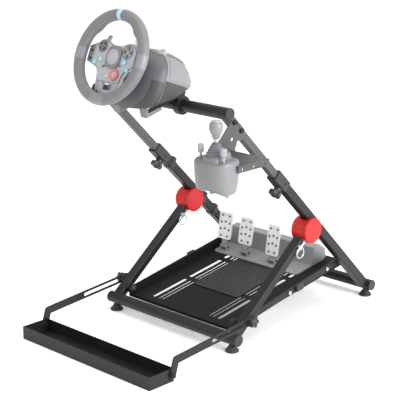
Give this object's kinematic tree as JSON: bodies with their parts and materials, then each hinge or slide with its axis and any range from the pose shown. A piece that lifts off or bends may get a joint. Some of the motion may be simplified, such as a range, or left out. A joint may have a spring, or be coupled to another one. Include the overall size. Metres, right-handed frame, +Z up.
{
  "type": "racing wheel stand",
  "caption": "Foldable racing-wheel stand with tilted posts, red hinge drums and a caster tray, carrying a steering wheel, gear shifter and pedals.",
  "frame": {"origin": "on the floor, under the middle of the rig's outer box", "axes": "+X the driver's right, +Y away from the driver, +Z up"},
  "size_m": [0.637, 0.954, 0.9141],
  "materials": {
    "black_powder_coat": "satin",
    "red_plastic": "satin",
    "black_plastic": "matte",
    "rubber": "matte",
    "zinc_steel": "satin",
    "mat_rubber": "embossed",
    "shell_dark": "fine grain",
    "shell_grey": "fine grain",
    "rim_leather": "fine grain",
    "hub_metal": "brushed",
    "hub_plastic": "satin",
    "paddle_steel": "brushed",
    "button_grey": "satin",
    "button_blue": "satin",
    "dial_red": "satin",
    "shifter_grey": "fine grain",
    "lever_metal": "satin",
    "pedal_grey": "fine grain",
    "pedal_steel": "brushed",
    "motor_steel": "satin",
    "belt_rubber": "matte",
    "brass": "satin"
  },
  "bodies": {
    "post_frame": {"lower_posts": "black_powder_coat", "rear_cross_tube": "black_powder_coat", "rear_feet": "rubber", "hinge_housings": "red_plastic", "hinge_bolts": "red_plastic", "post_sleeves": "black_plastic"},
    "leg_frame": {"front_legs": "black_powder_coat", "front_cross_tube": "black_powder_coat", "front_feet": "rubber", "hinge_hubs": "red_plastic"},
    "pedal_deck": {"pedal_plate": "black_powder_coat", "side_rails": "black_powder_coat", "heel_mat": "mat_rubber", "pedal_base": "pedal_grey"},
    "plate_screw_left": {"plate_knob_left": "black_plastic"},
    "plate_screw_right": {"plate_knob_right": "black_plastic"},
    "arm_swivel": {"arm_bushes": "black_plastic"},
    "tray_carriage": {"stop_tray": "black_powder_coat", "tray_arms": "black_powder_coat"},
    "arm_screw_left": {"arm_knob_left": "black_plastic"},
    "arm_screw_right": {"arm_knob_right": "black_plastic"},
    "post_screw_left": {"post_knob_left": "black_plastic"},
    "post_screw_right": {"post_knob_right": "black_plastic"},
    "pin_left": {"lock_pin_left": "zinc_steel"},
    "pin_right": {"lock_pin_right": "zinc_steel"},
    "upper_frame": {"upper_posts": "black_powder_coat", "top_cross_tube": "black_powder_coat", "shifter_bracket": "black_powder_coat", "shifter_body": "shifter_grey"},
    "wheel_mount": {"wheel_plate": "black_powder_coat", "base_front_shell": "shell_dark", "base_rear_shell": "shell_grey", "base_clamps": "black_plastic", "drive_motor": "motor_steel", "drive_belt": "belt_rubber"},
    "pulley": {"motor_pulley": "brass"},
    "clamp_screw_left": {"clamp_knob_left": "button_grey"},
    "clamp_screw_right": {"clamp_knob_right": "button_grey"},
    "steering": {"steering_shaft": "motor_steel", "rim": "rim_leather", "spoke_frame": "hub_metal", "hub_cover": "hub_plastic"},
    "shift_paddle_left": {"paddle_left": "paddle_steel"},
    "shift_paddle_right": {"paddle_right": "paddle_steel"},
    "direction_pad": {"dpad": "hub_plastic"},
    "face_button_up": {"button_up": "button_grey"},
    "face_button_right": {"button_right": "button_grey"},
    "face_button_down": {"button_down": "button_grey"},
    "face_button_left": {"button_left": "button_grey"},
    "thumb_left": {"thumb_button_left": "button_blue"},
    "thumb_right": {"thumb_button_right": "button_blue"},
    "dial": {"selector_dial": "dial_red"},
    "gimbal": {"shifter_gimbal": "lever_metal"},
    "lever": {"shifter_lever": "lever_metal"},
    "throttle": {"throttle_arm": "lever_metal", "throttle_face": "pedal_steel"},
    "brake": {"brake_arm": "lever_metal", "brake_face": "pedal_steel"},
    "clutch": {"clutch_arm": "lever_metal", "clutch_face": "pedal_steel"}
  },
  "joints": [
    {"name": "leg_fold", "type": "hinge", "parent": "post_frame", "child": "leg_frame", "pos_m": [-0.0489, 0.16295, 0.27491], "axis": [1, 0, 0], "range_deg": [0, 75]},
    {"name": "deck_lift", "type": "hinge", "parent": "leg_frame", "child": "pedal_deck", "pos_m": [-0.0489, -0.10866, 0.0642], "axis": [1, 0, 0], "range_deg": [0, 20]},
    {"name": "plate_screw_left_turn", "type": "hinge", "parent": "leg_frame", "child": "plate_screw_left", "pos_m": [-0.2489, -0.10866, 0.0642], "axis": [-1, 0, 0], "range_deg": [0, 360]},
    {"name": "plate_screw_right_turn", "type": "hinge", "parent": "leg_frame", "child": "plate_screw_right", "pos_m": [0.1511, -0.10866, 0.0642], "axis": [1, 0, 0], "range_deg": [0, 360]},
    {"name": "arm_swing", "type": "hinge", "parent": "leg_frame", "child": "arm_swivel", "pos_m": [-0.0489, -0.09609, 0.079], "axis": [-1, 0, 0], "range_deg": [0, 60]},
    {"name": "tray_reach", "type": "slide", "parent": "arm_swivel", "child": "tray_carriage", "axis": [0, 0.9971, 0.0761], "range_m": [0, 0.135]},
    {"name": "arm_screw_left_turn", "type": "hinge", "parent": "leg_frame", "child": "arm_screw_left", "pos_m": [-0.3109, -0.09609, 0.079], "axis": [-1, 0, 0], "range_deg": [0, 360]},
    {"name": "arm_screw_right_turn", "type": "hinge", "parent": "leg_frame", "child": "arm_screw_right", "pos_m": [0.2131, -0.09609, 0.079], "axis": [1, 0, 0], "range_deg": [0, 360]},
    {"name": "post_screw_left_turn", "type": "hinge", "parent": "post_frame", "child": "post_screw_left", "pos_m": [-0.2759, 0.02938, 0.41206], "axis": [0, -0.7009, -0.7133], "range_deg": [0, 360]},
    {"name": "post_screw_right_turn", "type": "hinge", "parent": "post_frame", "child": "post_screw_right", "pos_m": [0.1781, 0.02938, 0.41206], "axis": [0, -0.7009, -0.7133], "range_deg": [0, 360]},
    {"name": "pin_left_pull", "type": "slide", "parent": "leg_frame", "child": "pin_left", "axis": [1, 0, 0], "range_m": [0, 0.012], "stiffness_N_per_m": 300},
    {"name": "pin_right_pull", "type": "slide", "parent": "leg_frame", "child": "pin_right", "axis": [1, 0, 0], "range_m": [0, 0.012], "stiffness_N_per_m": 300},
    {"name": "post_reach", "type": "slide", "parent": "post_frame", "child": "upper_frame", "axis": [0, -0.7133, 0.7009], "range_m": [-0.15, 0.04]},
    {"name": "wheel_tilt", "type": "hinge", "parent": "upper_frame", "child": "wheel_mount", "pos_m": [-0.0489, -0.18684, 0.66], "axis": [1, 0, 0], "range_deg": [-15, 15]},
    {"name": "steering_turn", "type": "hinge", "parent": "wheel_mount", "child": "steering", "pos_m": [-0.0489, -0.359, 0.797], "axis": [0, -0.9198, 0.3923], "range_deg": [-450, 450]},
    {"name": "pulley_turn", "type": "hinge", "parent": "wheel_mount", "child": "pulley", "pos_m": [0.0091, -0.20263, 0.7303], "axis": [0, -0.9198, 0.3923], "range_deg": [-1800, 1800]},
    {"name": "clamp_screw_left_turn", "type": "hinge", "parent": "wheel_mount", "child": "clamp_screw_left", "pos_m": [-0.0989, -0.2248, 0.78965], "axis": [0, -0.2453, 0.9694], "range_deg": [0, 360]},
    {"name": "clamp_screw_right_turn", "type": "hinge", "parent": "wheel_mount", "child": "clamp_screw_right", "pos_m": [0.0011, -0.2248, 0.78965], "axis": [0, -0.2453, 0.9694], "range_deg": [0, 360]},
    {"name": "paddle_left_pull", "type": "hinge", "parent": "steering", "child": "shift_paddle_left", "pos_m": [-0.0709, -0.33398, 0.78633], "axis": [0, 0.3923, 0.9198], "range_deg": [0, 4], "stiffness_Nm_per_rad": 2},
    {"name": "paddle_right_pull", "type": "hinge", "parent": "steering", "child": "shift_paddle_right", "pos_m": [-0.0269, -0.33398, 0.78633], "axis": [0, -0.3923, -0.9198], "range_deg": [0, 4], "stiffness_Nm_per_rad": 2},
    {"name": "dpad_rock", "type": "hinge", "parent": "steering", "child": "direction_pad", "pos_m": [-0.0969, -0.33875, 0.81772], "axis": [1, 0, 0], "range_deg": [-4, 4], "stiffness_Nm_per_rad": 0.3},
    {"name": "face_button_up_press", "type": "slide", "parent": "steering", "child": "face_button_up", "axis": [0, 0.9198, -0.3923], "range_m": [0, 0.0012], "stiffness_N_per_m": 400},
    {"name": "face_button_right_press", "type": "slide", "parent": "steering", "child": "face_button_right", "axis": [0, 0.9198, -0.3923], "range_m": [0, 0.0012], "stiffness_N_per_m": 400},
    {"name": "face_button_down_press", "type": "slide", "parent": "steering", "child": "face_button_down", "axis": [0, 0.9198, -0.3923], "range_m": [0, 0.0012], "stiffness_N_per_m": 400},
    {"name": "face_button_left_press", "type": "slide", "parent": "steering", "child": "face_button_left", "axis": [0, 0.9198, -0.3923], "range_m": [0, 0.0012], "stiffness_N_per_m": 400},
    {"name": "thumb_left_press", "type": "slide", "parent": "steering", "child": "thumb_left", "axis": [0, 0.9198, -0.3923], "range_m": [0, 0.0012], "stiffness_N_per_m": 400},
    {"name": "thumb_right_press", "type": "slide", "parent": "steering", "child": "thumb_right", "axis": [0, 0.9198, -0.3923], "range_m": [0, 0.0012], "stiffness_N_per_m": 400},
    {"name": "dial_turn", "type": "hinge", "parent": "steering", "child": "dial", "pos_m": [-0.0289, -0.36582, 0.75425], "axis": [0, -0.9198, 0.3923], "continuous": true},
    {"name": "shift_fore_aft", "type": "hinge", "parent": "upper_frame", "child": "gimbal", "pos_m": [0.2555, -0.297, 0.537], "axis": [1, 0, 0], "range_deg": [-12, 12], "stiffness_Nm_per_rad": 6},
    {"name": "shift_side", "type": "hinge", "parent": "gimbal", "child": "lever", "pos_m": [0.2555, -0.297, 0.537], "axis": [0, 1, 0], "range_deg": [-8, 8], "stiffness_Nm_per_rad": 6},
    {"name": "throttle_press", "type": "hinge", "parent": "pedal_deck", "child": "throttle", "pos_m": [-0.0209, 0.25601, 0.11363], "axis": [-1, 0, 0], "range_deg": [0, 16], "stiffness_Nm_per_rad": 9},
    {"name": "brake_press", "type": "hinge", "parent": "pedal_deck", "child": "brake", "pos_m": [-0.1289, 0.25601, 0.11363], "axis": [-1, 0, 0], "range_deg": [0, 16], "stiffness_Nm_per_rad": 22},
    {"name": "clutch_press", "type": "hinge", "parent": "pedal_deck", "child": "clutch", "pos_m": [-0.2139, 0.25601, 0.11363], "axis": [-1, 0, 0], "range_deg": [0, 16], "stiffness_Nm_per_rad": 13}
  ],
  "couplings": [
    {"joint": "pulley_turn", "follows": "steering_turn", "ratio": 4}
  ]
}
